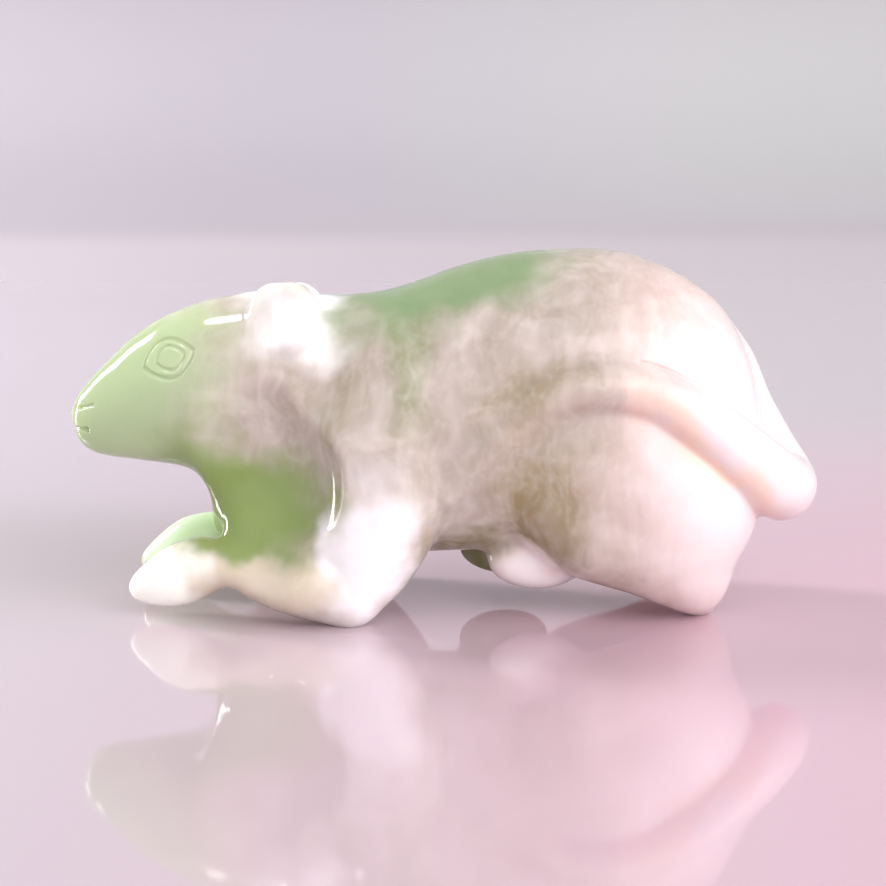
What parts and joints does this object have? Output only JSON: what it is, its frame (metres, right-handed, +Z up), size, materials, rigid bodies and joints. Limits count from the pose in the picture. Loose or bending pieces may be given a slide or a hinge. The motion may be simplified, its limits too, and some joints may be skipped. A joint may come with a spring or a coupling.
{
  "type": "mouse carving",
  "caption": "Small polished serpentine carving of a crouching mouse, tail curled forward along one flank, for display on a shelf.",
  "frame": {"origin": "middle of the ground under the figure, at the height of the feet", "axes": "+X towards the rump, -X the way the mouse looks, +Z up, -Y the flank that carries the tail"},
  "size_m": [0.0496, 0.0164, 0.0241],
  "materials": {
    "serpentine": "polished"
  },
  "bodies": {
    "root": {"mouse_carving": "serpentine"}
  },
  "joints": []
}
